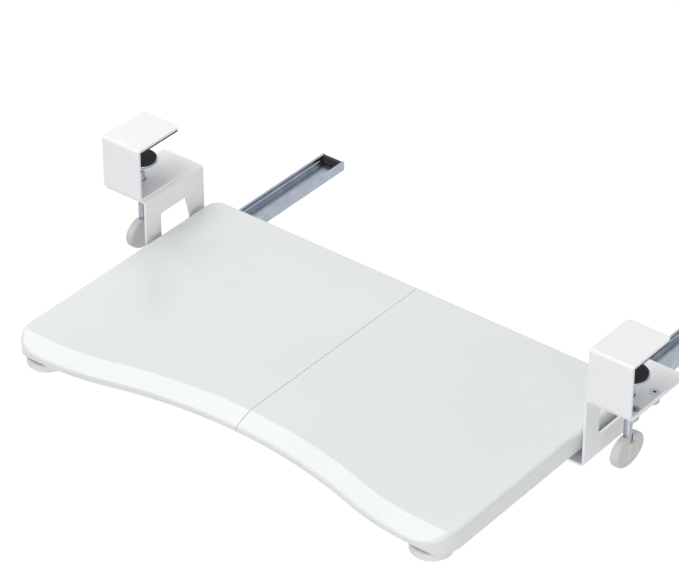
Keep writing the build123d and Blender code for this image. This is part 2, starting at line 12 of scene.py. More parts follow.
import bmesh
import bpy
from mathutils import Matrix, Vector


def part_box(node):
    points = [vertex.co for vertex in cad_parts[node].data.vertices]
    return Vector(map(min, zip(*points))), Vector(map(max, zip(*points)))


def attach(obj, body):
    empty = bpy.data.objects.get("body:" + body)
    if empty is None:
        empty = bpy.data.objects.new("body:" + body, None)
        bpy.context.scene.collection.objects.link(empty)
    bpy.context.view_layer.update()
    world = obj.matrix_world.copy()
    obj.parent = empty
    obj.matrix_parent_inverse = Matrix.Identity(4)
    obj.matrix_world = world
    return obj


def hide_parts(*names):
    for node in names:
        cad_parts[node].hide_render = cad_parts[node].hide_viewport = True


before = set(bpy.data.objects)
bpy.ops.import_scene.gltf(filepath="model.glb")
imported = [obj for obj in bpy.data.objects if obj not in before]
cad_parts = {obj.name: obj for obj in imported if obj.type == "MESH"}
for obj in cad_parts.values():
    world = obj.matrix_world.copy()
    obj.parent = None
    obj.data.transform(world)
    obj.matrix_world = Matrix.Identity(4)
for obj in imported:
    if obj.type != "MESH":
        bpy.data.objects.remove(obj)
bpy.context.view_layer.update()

log = logging.getLogger("keyboard_tray")

MM = 0.001
FULL_TURN = 2 * math.pi

Colour = tuple[float, float, float]
Ring = list[int]


class Side(Enum):
    """The two sides of the tray, each with the sign of its X."""

    LEFT = -1
    RIGHT = 1

    @property
    def word(self) -> str:
        """Word that starts the names of this side's pieces."""
        return self.name.lower()

    def node(self, piece: str) -> str:
        """Name of this side's node of a piece."""
        return f"{self.word}_{piece}"


def linear(level: float) -> float:
    """Linear value of one sRGB level from 0 to 1."""
    return level / 12.92 if level <= 0.04045 else ((level + 0.055) / 1.055) ** 2.4


def paint(colour: Colour, shift: float = 0.0) -> tuple[float, float, float, float]:
    """Linear colour with alpha for a socket.

    Args:
        colour: sRGB levels from 0 to 255.
        shift: levels added to each, for a lighter or darker shade.

    Returns:
        Red, green, blue and alpha.
    """
    red, green, blue = (linear(min(max(level + shift, 0.0), 255.0) / 255.0) for level in colour)
    return red, green, blue, 1.0


def blend_between(first: float, second: float, share: float) -> float:
    """Value that lies the share of the way from first to second."""
    return first + (second - first) * share


def ease(share: float) -> float:
    """Share from 0 to 1 that starts and ends gently."""
    held = min(max(share, 0.0), 1.0)
    return held * held * (3 - 2 * held)


def soft_min(first: float, second: float, reach: float) -> float:
    """Lower of two heights, with the crease between them rounded over the reach."""
    share = min(max(0.5 + 0.5 * (second - first) / reach, 0.0), 1.0)
    return blend_between(second, first, share) - reach * share * (1 - share)


class NodeSheet:
    """Node tree of one material, with short ways to add and join its nodes."""

    def __init__(self, name: str) -> None:
        """Makes the material and keeps its shader.

        Args:
            name: the material's name.
        """
        self.material = bpy.data.materials.new(name)
        self.material.use_nodes = True
        self.tree = self.material.node_tree
        self.shader = next(node for node in self.tree.nodes if node.type == "BSDF_PRINCIPLED")

    def add(self, kind: str) -> bpy.types.Node:
        """New node of a kind."""
        return self.tree.nodes.new(kind)

    def join(self, start: bpy.types.NodeSocket, end: bpy.types.NodeSocket) -> None:
        """Link from one socket to another."""
        self.tree.links.new(start, end)

    def fix(self, **levels: float) -> None:
        """Sets the shader's own sockets to constants.

        Args:
            levels: socket names with _ for each space, and their values.
        """
        for name, level in levels.items():
            self.shader.inputs[name.replace("_", " ")].default_value = level

    def place(self, size: float, stretch: Sequence[float] = (1.0, 1.0, 1.0)) -> bpy.types.NodeSocket:
        """Object coordinates in units of a grain's size.

        Args:
            size: size of a grain, in metres.
            stretch: how much longer the grain is along each axis.

        Returns:
            The socket that carries the coordinates.
        """
        where = self.add("ShaderNodeTexCoord")
        scaled = self.add("ShaderNodeMapping")
        scaled.inputs["Scale"].default_value = [1 / (size * part) for part in stretch]
        self.join(where.outputs["Object"], scaled.inputs["Vector"])
        return scaled.outputs["Vector"]

    def noise(self, size: float, detail: float = 2.0,
              stretch: Sequence[float] = (1.0, 1.0, 1.0)) -> bpy.types.NodeSocket:
        """Cloudy pattern.

        Args:
            size: size of a grain, in metres.
            detail: how many finer layers it has.
            stretch: how much longer the grain is along each axis.

        Returns:
            The socket that carries its strength.
        """
        cloud = self.add("ShaderNodeTexNoise")
        cloud.inputs["Scale"].default_value = 1.0
        cloud.inputs["Detail"].default_value = detail
        self.join(self.place(size, stretch), cloud.inputs["Vector"])
        return cloud.outputs["Fac"]

    def cells(self, size: float) -> bpy.types.NodeSocket:
        """Pebbled pattern whose cells have a size in metres."""
        pebbles = self.add("ShaderNodeTexVoronoi")
        pebbles.inputs["Scale"].default_value = 1.0
        self.join(self.place(size), pebbles.inputs["Vector"])
        return pebbles.outputs["Distance"]

    def base(self, pattern: bpy.types.NodeSocket, dark: Sequence[float], light: Sequence[float],
             low: float = 0.3, high: float = 0.7) -> None:
        """Makes the shader's base colour follow a pattern.

        Args:
            pattern: the socket of the pattern.
            dark: colour where the pattern is at low.
            light: colour where the pattern is at high.
            low: pattern's strength at the dark end.
            high: pattern's strength at the light end.
        """
        ramp = self.add("ShaderNodeValToRGB")
        first, last = ramp.color_ramp.elements
        first.position, first.color = low, dark
        last.position, last.color = high, light
        self.join(pattern, ramp.inputs["Fac"])
        self.join(ramp.outputs["Color"], self.shader.inputs["Base Color"])

    def vary(self, name: str, pattern: bpy.types.NodeSocket, low: float, high: float) -> None:
        """Makes one of the shader's sockets follow a pattern.

        Args:
            name: the shader's socket.
            pattern: the socket of the pattern.
            low: value where the pattern is weak.
            high: value where the pattern is strong.
        """
        span = self.add("ShaderNodeMapRange")
        span.inputs["From Min"].default_value = 0.3
        span.inputs["From Max"].default_value = 0.7
        span.inputs["To Min"].default_value = low
        span.inputs["To Max"].default_value = high
        self.join(pattern, span.inputs["Value"])
        self.join(span.outputs["Result"], self.shader.inputs[name])

    def bump(self, layers: Sequence[tuple[bpy.types.NodeSocket, float]]) -> None:
        """Gives the surface a relief of one or more patterns.

        Args:
            layers: each pattern's socket and its depth in metres.
        """
        last = None
        for pattern, depth in layers:
            relief = self.add("ShaderNodeBump")
            relief.inputs["Distance"].default_value = depth
            self.join(pattern, relief.inputs["Height"])
            if last:
                self.join(last.outputs["Normal"], relief.inputs["Normal"])
            last = relief
        self.join(last.outputs["Normal"], self.shader.inputs["Normal"])


@dataclass(frozen=True)
class PowderCoat:
    """Baked white powder coat on sheet steel, with a fine orange peel."""

    slot: str = "clamp_coat"
    colour: Colour = (245.0, 246.0, 248.0)
    cloud_size: float = 60 * MM
    sheen_size: float = 9 * MM
    rough: tuple[float, float] = (0.34, 0.44)
    peel_size: float = 0.9 * MM
    peel_depth: float = 0.012 * MM
    wave_size: float = 6 * MM
    wave_depth: float = 0.01 * MM

    def material(self) -> bpy.types.Material:
        """Builds the finish and returns its material."""
        sheet = NodeSheet("white_powder_coat")
        cloud = sheet.noise(self.cloud_size, detail=4.0)
        sheet.base(cloud, paint(self.colour, -3), paint(self.colour, 2))
        sheet.vary("Roughness", sheet.noise(self.sheen_size, detail=3.0), *self.rough)
        sheet.fix(Coat_Weight=0.25, Coat_Roughness=0.22)
        sheet.bump([(sheet.noise(self.peel_size), self.peel_depth),
                    (sheet.noise(self.wave_size), self.wave_depth)])
        return sheet.material


@dataclass(frozen=True)
class GlossFilm:
    """Semi-gloss white film pressed over the board."""

    slot: str = "tray_film"
    colour: Colour = (231.0, 234.0, 234.0)
    cloud_size: float = 110 * MM
    sheen_size: float = 12 * MM
    rough: tuple[float, float] = (0.27, 0.3)
    wave_size: float = 25 * MM
    wave_depth: float = 0.008 * MM

    def material(self) -> bpy.types.Material:
        """Builds the finish and returns its material."""
        sheet = NodeSheet("white_board_film")
        cloud = sheet.noise(self.cloud_size, detail=3.0)
        sheet.base(cloud, paint(self.colour, -2), paint(self.colour, 2))
        sheet.vary("Roughness", sheet.noise(self.sheen_size), *self.rough)
        sheet.fix(Coat_Weight=0.35, Coat_Roughness=0.2)
        sheet.bump([(sheet.noise(self.wave_size, detail=0.0), self.wave_depth)])
        return sheet.material


@dataclass(frozen=True)
class MouldedPlastic:
    """Injection-moulded plastic with a fine eroded grain."""

    slot: str
    name: str
    colour: Colour
    flow_size: float = 18 * MM
    sheen_size: float = 5 * MM
    rough: tuple[float, float] = (0.42, 0.54)
    grain_size: float = 0.45 * MM
    grain_depth: float = 0.012 * MM

    def material(self) -> bpy.types.Material:
        """Builds the finish and returns its material."""
        sheet = NodeSheet(self.name)
        flow = sheet.noise(self.flow_size, detail=4.0, stretch=(1.0, 1.0, 2.5))
        sheet.base(flow, paint(self.colour, -4), paint(self.colour, 3))
        sheet.vary("Roughness", sheet.noise(self.sheen_size), *self.rough)
        sheet.bump([(sheet.noise(self.grain_size, detail=1.0), self.grain_depth)])
        return sheet.material


@dataclass(frozen=True)
class ZincPlate:
    """Blue zinc plate on steel, drawn along one axis."""

    slot: str = "zinc_plate"
    colour: Colour = (160.0, 170.0, 184.0)
    warm: Colour = (184.0, 188.0, 194.0)
    bloom_size: float = 14 * MM
    drawn_size: float = 0.5 * MM
    drawn_depth: float = 0.003 * MM
    grit_size: float = 0.8 * MM
    grit_depth: float = 0.004 * MM
    rough: tuple[float, float] = (0.18, 0.32)

    def material(self) -> bpy.types.Material:
        """Builds the finish and returns its material."""
        sheet = NodeSheet("blue_zinc_plate")
        bloom = sheet.noise(self.bloom_size, detail=5.0)
        sheet.base(bloom, paint(self.colour), paint(self.warm), 0.35, 0.75)
        drawn = sheet.noise(self.drawn_size, detail=3.0, stretch=(1.0, 24.0, 1.0))
        sheet.vary("Roughness", drawn, *self.rough)
        sheet.fix(Metallic=1.0)
        sheet.bump([(drawn, self.drawn_depth), (sheet.noise(self.grit_size), self.grit_depth)])
        return sheet.material


@dataclass(frozen=True)
class PolishedSteel:
    """Ground and polished bearing steel."""

    slot: str = "polished_steel"
    colour: Colour = (225.0, 227.0, 230.0)
    haze_size: float = 0.8 * MM
    rough: tuple[float, float] = (0.07, 0.14)

    def material(self) -> bpy.types.Material:
        """Builds the finish and returns its material."""
        sheet = NodeSheet("polished_bearing_steel")
        haze = sheet.noise(self.haze_size, detail=4.0)
        sheet.base(haze, paint(self.colour, -10), paint(self.colour))
        sheet.vary("Roughness", haze, *self.rough)
        sheet.fix(Metallic=1.0)
        return sheet.material


@dataclass(frozen=True)
class Rubber:
    """Black rubber sheet with a dusty bloom."""

    slot: str = "dark_rubber"
    colour: Colour = (46.0, 45.0, 44.0)
    bloom_size: float = 7 * MM
    rough: tuple[float, float] = (0.72, 0.88)
    pebble_size: float = 0.7 * MM
    pebble_depth: float = 0.03 * MM

    def material(self) -> bpy.types.Material:
        """Builds the finish and returns its material."""
        sheet = NodeSheet("black_rubber_sheet")
        bloom = sheet.noise(self.bloom_size, detail=5.0)
        sheet.base(bloom, paint(self.colour, -8), paint(self.colour, 10))
        sheet.vary("Roughness", bloom, *self.rough)
        sheet.bump([(sheet.cells(self.pebble_size), self.pebble_depth)])
        return sheet.material


@dataclass(frozen=True)
class BeechWood:
    """Planed beech with short dark flecks along the grain."""

    slot: str = "beech_wood"
    dark: Colour = (188.0, 148.0, 106.0)
    light: Colour = (220.0, 188.0, 150.0)
    grain_size: float = 0.9 * MM
    grain_depth: float = 0.04 * MM
    rough: tuple[float, float] = (0.55, 0.7)

    def material(self) -> bpy.types.Material:
        """Builds the finish and returns its material."""
        sheet = NodeSheet("beech_dowel_wood")
        grain = sheet.noise(self.grain_size, detail=6.0, stretch=(18.0, 1.0, 1.0))
        sheet.base(grain, paint(self.dark), paint(self.light))
        sheet.vary("Roughness", grain, *self.rough)
        sheet.bump([(grain, self.grain_depth)])
        return sheet.material


class FinishRack:
    """All finishes of the tray, each made into one material."""

    def __init__(self) -> None:
        """Builds a material for each slot of the record."""
        self.finishes = (
            PowderCoat(),
            GlossFilm(),
            MouldedPlastic("knob_plastic", "pale_grey_knob_plastic", (214.0, 212.0, 211.0)),
            MouldedPlastic("foot_plastic", "off_white_foot_plastic", (238.0, 237.0, 236.0)),
            ZincPlate(),
            PolishedSteel(),
            Rubber(),
            BeechWood(),
        )
        self.materials = {finish.slot: finish.material() for finish in self.finishes}

    def dress_node(self, node: str, slot: str) -> bpy.types.Object:
        """Gives a CAD node its finish.

        Args:
            node: name of the node.
            slot: material slot whose finish it gets.

        Returns:
            The node's object.
        """
        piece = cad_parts[node]
        for holder in piece.material_slots:
            holder.material = self.materials[slot]
        return piece

    def dress_piece(self, piece: bpy.types.Object, slot: str) -> None:
        """Gives a modelled piece the finish of a slot."""
        piece.data.materials.append(self.materials[slot])


@dataclass
class Shell:
    """Points and faces of a mesh while it is built from rings."""

    points: list[Vector] = field(default_factory=list)
    faces: list[tuple[int, ...]] = field(default_factory=list)

    def ring(self, places: Sequence[Sequence[float]]) -> Ring:
        """Adds points and returns their numbers."""
        first = len(self.points)
        self.points.extend(Vector(place) for place in places)
        return list(range(first, len(self.points)))

    def bridge(self, low: Ring, high: Ring, closed: bool = True) -> None:
        """Adds the band of faces between two rings.

        Args:
            low: numbers of the first ring's points.
            high: numbers of the second ring's points, as many.
            closed: whether the band joins its last points to its first.
        """
        count = len(low)
        for i in range(count if closed else count - 1):
            j = (i + 1) % count
            self.faces.append((low[i], low[j], high[j], high[i]))

    def cap(self, ring: Ring) -> None:
        """Adds one flat face inside a ring."""
        self.faces.append(tuple(ring))

    def stack(self, rings: Sequence[Sequence[Sequence[float]]]) -> None:
        """Adds closed rings one above the other, joined and capped at both ends."""
        numbers = [self.ring(places) for places in rings]
        for low, high in zip(numbers, numbers[1:]):
            self.bridge(low, high)
        self.cap(numbers[0])
        self.cap(numbers[-1])

    def piece(self, name: str) -> bpy.types.Object:
        """Makes the mesh object, with its faces turned outwards.

        Args:
            name: name of the piece.

        Returns:
            The object, linked to the scene and shaded smooth.
        """
        mesh = bpy.data.meshes.new(name)
        mesh.from_pydata([tuple(point) for point in self.points], [], self.faces)
        work = bmesh.new()
        work.from_mesh(mesh)
        bmesh.ops.recalc_face_normals(work, faces=work.faces)
        for face in work.faces:
            face.smooth = True
        work.to_mesh(mesh)
        work.free()
        made = bpy.data.objects.new(name, mesh)
        bpy.context.scene.collection.objects.link(made)
        return made


def hexagon(flats: float) -> Callable[[float], float]:
    """Radius of a hexagon at each angle.

    Args:
        flats: width across its flats.

    Returns:
        A function of the angle in radians.
    """
    sixth = FULL_TURN / 6

    def radius(angle: float) -> float:
        """Radius of the hexagon at the angle."""
        return flats / 2 / math.cos(angle % sixth - sixth / 2)

    return radius


def round_about(centre: Sequence[float], height: float, limit: float, steps: int,
                shape: Callable[[float], float] | None = None) -> list[tuple[float, float, float]]:
    """Points of a level ring round an upright axis.

    Args:
        centre: X and Y of the axis.
        height: Z of the ring.
        limit: largest radius, which a shape's corners are cut to.
        steps: number of points.
        shape: radius at each angle, or nothing for a circle.

    Returns:
        The points, anticlockwise from +X.
    """
    places = []
    for i in range(steps):
        angle = FULL_TURN * i / steps
        radius = min(limit, shape(angle)) if shape else limit
        places.append((centre[0] + radius * math.cos(angle), centre[1] + radius * math.sin(angle), height))
    return places


def arc(first: tuple[float, float], last: tuple[float, float], steps: int,
        bulge_out: bool = True) -> list[tuple[float, float]]:
    """Quarter-ellipse from one profile point to another.

    Args:
        first: radius and height where it starts.
        last: radius and height where it ends.
        steps: number of steps.
        bulge_out: whether the radius runs ahead of the height on the way.

    Returns:
        Radii and heights with both ends.
    """
    profile = []
    for i in range(steps + 1):
        angle = FULL_TURN / 4 * i / steps
        ahead, behind = math.sin(angle), 1 - math.cos(angle)
        share_r, share_z = (ahead, behind) if bulge_out else (behind, ahead)
        profile.append((blend_between(first[0], last[0], share_r), blend_between(first[1], last[1], share_z)))
    return profile


def round_off(piece: bpy.types.Object, width: float, segments: int = 2, angle: float = 40.0) -> None:
    """Rounds a piece's sharp edges and evens its normals.

    Args:
        piece: the piece.
        width: width of the rounding.
        segments: faces across it.
        angle: least angle of an edge that is rounded, in degrees.
    """
    edge = piece.modifiers.new("rounded_edges", "BEVEL")
    edge.width = width
    edge.segments = segments
    edge.limit_method = "ANGLE"
    edge.angle_limit = math.radians(angle)
    edge.miter_outer = "MITER_ARC"
    even = piece.modifiers.new("even_normals", "WEIGHTED_NORMAL")
    even.keep_sharp = True
    even.weight = 60


def soften_node(piece: bpy.types.Object, width: float, angle: float = 40.0) -> None:
    """Joins a CAD node's split points and rounds its sharp edges.

    Args:
        piece: the node's object.
        width: width of the rounding.
        angle: least angle of an edge that is rounded, in degrees.
    """
    weld = piece.modifiers.new("joined_points", "WELD")
    weld.merge_threshold = 0.001 * MM
    round_off(piece, width, angle=angle)


def finish_piece(piece: bpy.types.Object, body: str, nodes: Sequence[str], slot: str, rack: FinishRack) -> None:
    """Dresses a modelled piece and puts it in place of its CAD nodes.

    Args:
        piece: the piece, already in place.
        body: body that it rides on.
        nodes: CAD nodes that it stands for.
        slot: material slot of its finish.
        rack: the finishes.
    """
    rack.dress_piece(piece, slot)
    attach(piece, body)
    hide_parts(*nodes)
    log.info("%s: %d points, rides on %s", piece.name, len(piece.data.vertices), body)


@dataclass
class RimPoint:
    """One point of a board's outline, seen from above."""

    place: Vector
    inward: Vector
    front_share: float


@dataclass
class TrayBoard:
    """One half of the board: bevelled front, rounded rim, cut back underneath."""

    side: Side
    front_dip: float = 31 * MM
    turn_share: float = 0.65
    corner_r: float = 33 * MM
    back_corner_r: float = 14 * MM
    bevel_drop: float = 7 * MM
    bevel_mid_run: float = 19.5 * MM
    bevel_lobe_run: float = 20 * MM
    crease_reach: float = 0.35 * MM
    undercut_h: float = 8.5 * MM
    undercut_run: float = 9 * MM
    rim_r: float = 4 * MM
    lip_r: float = 2.2 * MM
    foot_rim_r: float = 1.5 * MM
    foot_lip_r: float = 1.3 * MM
    top_band: float = 8 * MM
    top_front_band: float = 27 * MM
    foot_band: float = 4 * MM
    foot_front_band: float = 14 * MM
    seam_edge: float = 0.4 * MM

    def __post_init__(self) -> None:
        """Reads the half's box from the frame, as if it lay on the right."""
        low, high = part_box(self.side.node("tray_panel"))
        self.seam_x = min(abs(low.x), abs(high.x))
        self.side_x = max(abs(low.x), abs(high.x))
        self.lobe_y, self.back_y = low.y, high.y
        self.foot_z, self.top_z = low.z, high.z
        self.mid_y = self.lobe_y + self.front_dip
        self.apex_x = self.side_x - self.corner_r
        self.turn_x = self.apex_x * self.turn_share
        self.hollow_r = self.arc_radius(self.turn_x, self.front_dip * self.turn_share)
        self.lobe_r = self.arc_radius(self.apex_x - self.turn_x, self.front_dip * (1 - self.turn_share))

    def arc_radius(self, run: float, rise: float) -> float:
        """Radius of an arc that starts level and has risen by the rise after the run."""
        return (run ** 2 + rise ** 2) / (2 * rise)

    def front_y(self, x: float) -> float:
        """Y of the front edge at an X: a hollow arc, then the lobe's arc, then straight on."""
        if x >= self.apex_x:
            return self.lobe_y
        if x > self.turn_x:
            return self.lobe_y + self.lobe_r - math.sqrt(self.lobe_r ** 2 - (self.apex_x - x) ** 2)
        return self.mid_y - self.hollow_r + math.sqrt(self.hollow_r ** 2 - x ** 2)

    def front_slope(self, x: float) -> float:
        """Slope of the front edge at an X."""
        if x > self.turn_x:
            ahead = self.apex_x - x
            return -ahead / math.sqrt(self.lobe_r ** 2 - ahead ** 2)
        return -x / math.sqrt(self.hollow_r ** 2 - x ** 2)

    def outline(self) -> list[RimPoint]:
        """Points of the outline from the seam's front end round to its back end."""
        rim = []
        front_steps, corner_steps, side_steps, back_corner_steps, back_steps = 64, 24, 18, 12, 16
        for i in range(front_steps):
            x = blend_between(self.seam_x, self.apex_x, i / front_steps)
            slope = self.front_slope(x) if i else 0.0
            rim.append(RimPoint(Vector((x, self.front_y(x))), Vector((-slope, 1.0)).normalized(), 1.0))
        for i in range(corner_steps):
            turn = FULL_TURN / 4 * i / corner_steps
            out = Vector((math.sin(turn), -math.cos(turn)))
            centre = Vector((self.apex_x, self.lobe_y + self.corner_r))
            rim.append(RimPoint(centre + out * self.corner_r, -out, 1 - ease(i / corner_steps)))
        side_ys = (self.lobe_y + self.corner_r, self.back_y - self.back_corner_r)
        for i in range(side_steps):
            y = blend_between(*side_ys, i / side_steps)
            rim.append(RimPoint(Vector((self.side_x, y)), Vector((-1.0, 0.0)), 0.0))
        for i in range(back_corner_steps):
            turn = FULL_TURN / 4 * i / back_corner_steps
            out = Vector((math.cos(turn), math.sin(turn)))
            centre = Vector((self.side_x - self.back_corner_r, self.back_y - self.back_corner_r))
            rim.append(RimPoint(centre + out * self.back_corner_r, -out, 0.0))
        for i in range(back_steps + 1):
            x = blend_between(self.side_x - self.back_corner_r, self.seam_x, i / back_steps)
            rim.append(RimPoint(Vector((x, self.back_y)), Vector((0.0, -1.0)), 0.0))
        return rim

    def top_height(self, x: float, y: float) -> float:
        """Height of the top at a place: flat, or on the bevel's slope where that is lower."""
        behind = y - self.front_y(x)
        run = blend_between(self.bevel_mid_run, self.bevel_lobe_run, min(x / self.apex_x, 1.0))
        slope = self.top_z - self.bevel_drop + self.bevel_drop * behind / run
        return soft_min(self.top_z, slope, self.crease_reach)

    def foot_height(self, x: float, y: float) -> float:
        """Height of the underside at a place: flat, or on the slope of the undercut where that is higher."""
        behind = y - self.front_y(x)
        slope = self.foot_z + self.undercut_h * (1 - behind / self.undercut_run)
        return -soft_min(-self.foot_z, -slope, self.crease_reach)

    def bands(self, rim: Sequence[RimPoint], top: bool) -> list[list[tuple[float, float, float]]]:
        """Rings from the rim inwards over the top, or under the foot.

        Args:
            rim: the outline.
            top: whether they run over the top.

        Returns:
            One open ring for each inset, outermost first.
        """
        round_steps, flat_steps = 8, 40
        edges = (self.rim_r, self.lip_r) if top else (self.foot_rim_r, self.foot_lip_r)
        widths = (self.top_band, self.top_front_band) if top else (self.foot_band, self.foot_front_band)
        height = self.top_height if top else self.foot_height
        down = -1 if top else 1
        rings = []
        for step in range(round_steps + flat_steps + 1):
            ring = []
            for point in rim:
                radius = blend_between(*edges, point.front_share)
                if step <= round_steps:
                    angle = FULL_TURN / 4 * step / round_steps
                    inset, drop = radius * (1 - math.cos(angle)), radius * (1 - math.sin(angle))
                else:
                    band = blend_between(*widths, point.front_share)
                    inset, drop = blend_between(radius, band, (step - round_steps) / flat_steps), 0.0
                x, y = point.place + point.inward * inset
                ring.append((self.side.value * x, y, height(x, y) + down * drop))
            rings.append(ring)
        return rings

    def build(self, rack: FinishRack) -> bpy.types.Object:
        """Makes the half's mesh and puts it in place of its node.

        Args:
            rack: the finishes.

        Returns:
            The piece.
        """
        shell = Shell()
        rim = self.outline()
        top = [shell.ring(ring) for ring in self.bands(rim, top=True)]
        foot = [shell.ring(ring) for ring in self.bands(rim, top=False)]
        for rings in (top, foot):
            for outer, inner in zip(rings, rings[1:]):
                shell.bridge(outer, inner, closed=False)
            shell.cap(rings[-1])
        shell.bridge(top[0], foot[0], closed=False)
        over = [ring[0] for ring in top] + [ring[-1] for ring in reversed(top)]
        under = [ring[-1] for ring in foot] + [ring[0] for ring in reversed(foot)]
        shell.cap(over + under)
        piece = shell.piece(self.side.node("board_half"))
        round_off(piece, self.seam_edge, angle=60.0)
        finish_piece(piece, "tray", [self.side.node("tray_panel")], "tray_film", rack)
        return piece


@dataclass
class CornerFoot:
    """Moulded foot disc under a front corner, on a narrower neck."""

    side: Side
    foot_r: float = 20 * MM
    foot_h: float = 7.7 * MM
    edge_r: float = 1.6 * MM
    neck_r: float = 13.5 * MM
    bore_r: float = 4.6 * MM
    bore_h: float = 5 * MM
    bore_edge: float = 0.5 * MM
    soft_edge: float = 0.25 * MM
    steps: int = 96

    def build(self, rack: FinishRack) -> bpy.types.Object:
        """Turns the disc and puts it in place of its node.

        Args:
            rack: the finishes.

        Returns:
            The piece.
        """
        node = self.side.node("corner_foot")
        low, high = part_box(node)
        centre = ((low.x + high.x) / 2, (low.y + high.y) / 2)
        disc_top = low.z + self.foot_h
        profile = [(self.bore_r, low.z + self.bore_h)]
        profile += [(self.bore_r, low.z + self.bore_edge), (self.bore_r + self.bore_edge, low.z)]
        profile += arc((self.foot_r - self.edge_r, low.z), (self.foot_r, low.z + self.edge_r), 6)
        profile += arc((self.foot_r, disc_top - self.edge_r), (self.foot_r - self.edge_r, disc_top), 6, False)
        profile += [(self.neck_r + self.bore_edge, disc_top), (self.neck_r, disc_top + self.bore_edge)]
        profile += [(self.neck_r, high.z)]
        shell = Shell()
        shell.stack([round_about(centre, z, radius, self.steps) for radius, z in profile])
        piece = shell.piece(self.side.node("foot_disc"))
        round_off(piece, self.soft_edge)
        finish_piece(piece, "tray", [node], "foot_plastic", rack)
        return piece


@dataclass
class ClampScrew:
    """Threaded clamp screw with a neck and a ball tip."""

    side: Side
    crest_r: float = 4 * MM
    root_r: float = 3.75 * MM
    pitch: float = 1.25 * MM
    neck_r: float = 2 * MM
    ball_r: float = 3 * MM
    shoulder_drop: float = 12 * MM
    shoulder_edge: float = 0.3 * MM
    plain_h: float = 1.5 * MM
    steps: int = 32
    rings_per_turn: int = 8

    def thread_r(self, angle: float, z: float, low: float, high: float) -> float:
        """Radius of the right-hand thread at an angle and a height.

        Args:
            angle: angle round the screw, in radians.
            z: height.
            low: height where the thread starts.
            high: height where it ends.

        Returns:
            The radius, between root and crest, fading to the root at both ends.
        """
        phase = (z / self.pitch - angle / FULL_TURN) % 1.0
        rise = 0.5 - 0.5 * math.cos(FULL_TURN * phase)
        flank = min(1.0, max(0.0, 1.6 * rise - 0.25))
        fade = ease(min(z - low, high - z) / self.pitch)
        return blend_between(self.root_r, self.crest_r, flank * fade)

    def build(self, rack: FinishRack) -> bpy.types.Object:
        """Makes the screw and puts it in place of its node.

        Args:
            rack: the finishes.

        Returns:
            The piece.
        """
        node = self.side.node("clamp_screw")
        low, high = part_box(node)
        centre = ((low.x + high.x) / 2, (low.y + high.y) / 2)
        ball_z = high.z - self.ball_r
        shoulder = high.z - self.shoulder_drop
        start, end = low.z + self.plain_h, shoulder
        count = round((end - start) / self.pitch * self.rings_per_turn)
        rings = [round_about(centre, low.z, self.root_r, self.steps)]
        for i in range(count + 1):
            z = blend_between(start, end, i / count)
            rings.append(round_about(centre, z, self.crest_r, self.steps,
                                     lambda angle: self.thread_r(angle, z, start, end)))
        rim = shoulder + self.shoulder_edge
        rings.append(round_about(centre, rim, self.root_r - self.shoulder_edge, self.steps))
        rings.append(round_about(centre, rim, self.neck_r, self.steps))
        neck_angle = math.asin(self.neck_r / self.ball_r)
        ball_steps = 12
        for i in range(ball_steps):
            turn = blend_between(math.pi - neck_angle, 0.0, i / ball_steps)
            rings.append(round_about(centre, ball_z + self.ball_r * math.cos(turn),
                                     self.ball_r * math.sin(turn), self.steps))
        shell = Shell()
        shell.stack(rings)
        piece = shell.piece(self.side.node("threaded_screw"))
        finish_piece(piece, self.side.node("screw"), [node], "zinc_plate", rack)
        return piece


